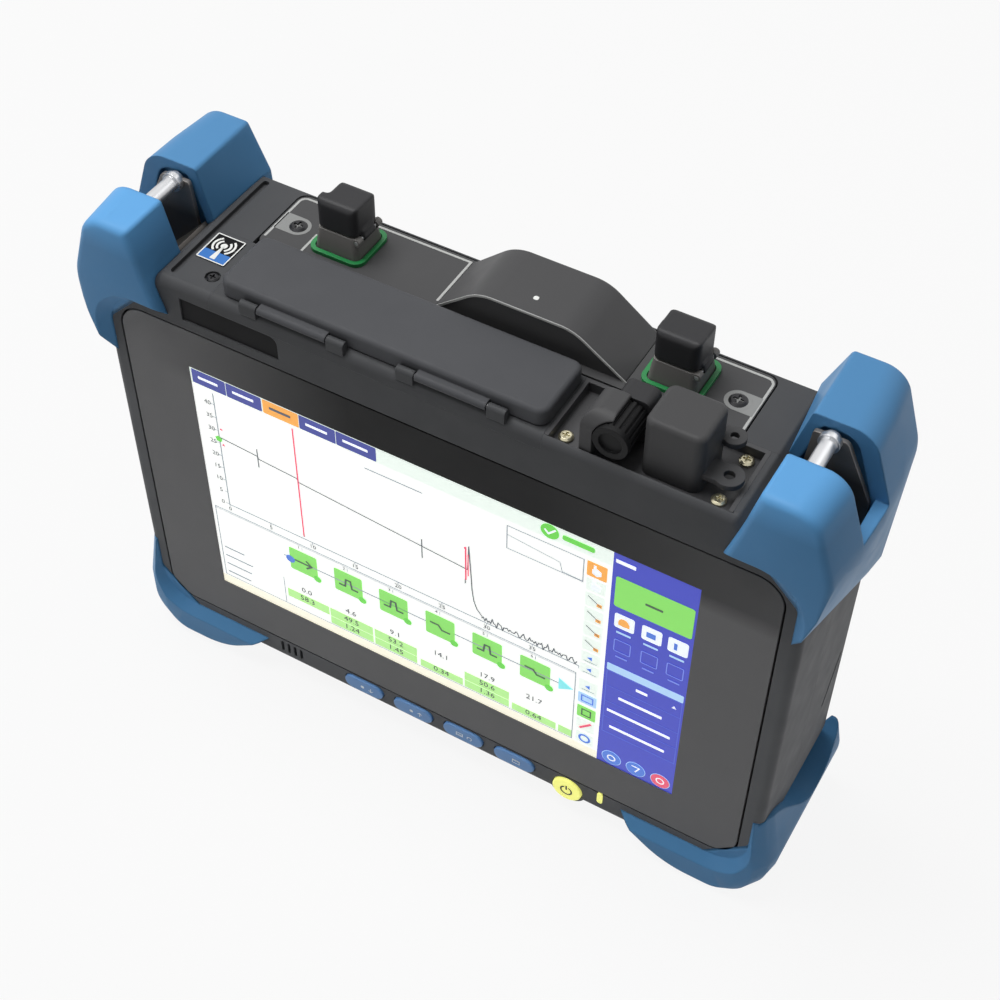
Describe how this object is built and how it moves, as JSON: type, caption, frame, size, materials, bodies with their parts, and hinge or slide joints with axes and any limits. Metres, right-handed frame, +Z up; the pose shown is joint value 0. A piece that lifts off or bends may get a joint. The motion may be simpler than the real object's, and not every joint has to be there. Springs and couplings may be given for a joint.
{
  "type": "optical time domain reflectometer",
  "caption": "Hand-held optical time domain reflectometer with a wide touch screen, rubber corner bumpers, a lidded port bay and capped optical ports on top.",
  "frame": {"origin": "middle of the footprint, on the plane the two lower bumpers stand on", "axes": "+X to the user's right, +Y from the screen towards the back, +Z up"},
  "size_m": [0.2198, 0.0544, 0.1697],
  "materials": {
    "body_plastic": "fine-grained dark grey moulding",
    "bezel_plastic": "smooth mid-grey panel",
    "screen_glass": "lit display behind a clear touch panel",
    "lcd_metal": "folded tray",
    "bumper_rubber": "satin blue rubber",
    "bright_metal": "brushed",
    "cap_rubber": "black moulded rubber",
    "door_plastic": "bluish-grey door",
    "module_plastic": "neutral grey plate",
    "seal_green": "green",
    "key_blue": "blue keys",
    "lamp_yellow": "pale yellow",
    "screw_steel": "bright screw heads",
    "board_green": "circuit board",
    "battery_wrap": "shrink wrap",
    "label_black": "printed label"
  },
  "bodies": {
    "chassis": {"antenna_label": "label_black", "battery_cover": "body_plastic", "battery_pack": "battery_wrap", "card_slot": "bright_metal", "cover_screws": "screw_steel", "deck_screw": "screw_steel", "door_hinge_pins": "bright_metal", "dust_cap_pins": "bright_metal", "front_housing": "body_plastic", "headset_jack": "bright_metal", "housing_screws": "screw_steel", "key_board": "board_green", "lcd_module": "lcd_metal", "locator_hood": "cap_rubber", "locator_port": "cap_rubber", "lower_bumper_left": "bumper_rubber", "lower_bumper_right": "bumper_rubber", "main_board": "board_green", "meter_port": "cap_rubber", "module_board": "board_green", "module_case": "lcd_metal", "module_hump": "module_plastic", "module_plate": "module_plastic", "module_screws": "screw_steel", "network_jack": "bright_metal", "optical_port_left": "module_plastic", "optical_port_right": "module_plastic", "port_bay": "body_plastic", "port_board": "board_green", "port_seal_left": "seal_green", "port_seal_right": "seal_green", "power_inlet": "bright_metal", "rear_housing": "body_plastic", "screen_bezel": "bezel_plastic", "speaker": "body_plastic", "stand_pins": "bright_metal", "status_led": "lamp_yellow", "strap_bar_left": "bright_metal", "strap_bar_right": "bright_metal", "strap_bracket_left": "bright_metal", "strap_bracket_right": "bright_metal", "test_tray": "cap_rubber", "touch_screen": "screen_glass", "tray_screws": "screw_steel", "upper_bumper_left": "bumper_rubber", "upper_bumper_right": "bumper_rubber", "usb_ports": "bright_metal"},
    "port_door": {"port_door": "door_plastic"},
    "dust_cap_left": {"dust_cap_left": "cap_rubber"},
    "dust_cap_right": {"dust_cap_right": "cap_rubber"},
    "meter_cap": {"meter_cap": "cap_rubber"},
    "locator_cap": {"locator_cap": "cap_rubber"},
    "key_1": {"key_1": "key_blue"},
    "key_2": {"key_2": "key_blue"},
    "key_3": {"key_3": "key_blue"},
    "key_4": {"key_4": "key_blue"},
    "power_button": {"power_button": "lamp_yellow"},
    "kickstand": {"kickstand": "body_plastic", "stand_foot": "cap_rubber"}
  },
  "joints": [
    {"name": "door_hinge", "type": "hinge", "parent": "chassis", "child": "port_door", "pos_m": [0, -0.0227, 0.1549], "axis": [1, 0, 0], "range_deg": [0, 150]},
    {"name": "cap_hinge_left", "type": "hinge", "parent": "chassis", "child": "dust_cap_left", "pos_m": [-0.0403, 0.012, 0.1597], "axis": [0, 1, 0], "range_deg": [0, 100]},
    {"name": "cap_hinge_right", "type": "hinge", "parent": "chassis", "child": "dust_cap_right", "pos_m": [0.0565, 0.012, 0.1597], "axis": [0, 1, 0], "range_deg": [0, 100]},
    {"name": "meter_cap_lift", "type": "slide", "parent": "chassis", "child": "meter_cap", "axis": [0, 0, 1], "range_m": [0, 0.02]},
    {"name": "locator_cap_pull", "type": "slide", "parent": "chassis", "child": "locator_cap", "axis": [0, -1, 0], "range_m": [0, 0.012]},
    {"name": "key_1_press", "type": "slide", "parent": "chassis", "child": "key_1", "axis": [0, 1, 0], "range_m": [0, 0.0006], "stiffness_N_per_m": 800},
    {"name": "key_2_press", "type": "slide", "parent": "chassis", "child": "key_2", "axis": [0, 1, 0], "range_m": [0, 0.0006], "stiffness_N_per_m": 800},
    {"name": "key_3_press", "type": "slide", "parent": "chassis", "child": "key_3", "axis": [0, 1, 0], "range_m": [0, 0.0006], "stiffness_N_per_m": 800},
    {"name": "key_4_press", "type": "slide", "parent": "chassis", "child": "key_4", "axis": [0, 1, 0], "range_m": [0, 0.0006], "stiffness_N_per_m": 800},
    {"name": "power_button_press", "type": "slide", "parent": "chassis", "child": "power_button", "axis": [0, 1, 0], "range_m": [0, 0.0006], "stiffness_N_per_m": 800},
    {"name": "stand_hinge", "type": "hinge", "parent": "chassis", "child": "kickstand", "pos_m": [0, 0.0222, 0.1223], "axis": [1, 0, 0], "range_deg": [0, 40]}
  ]
}
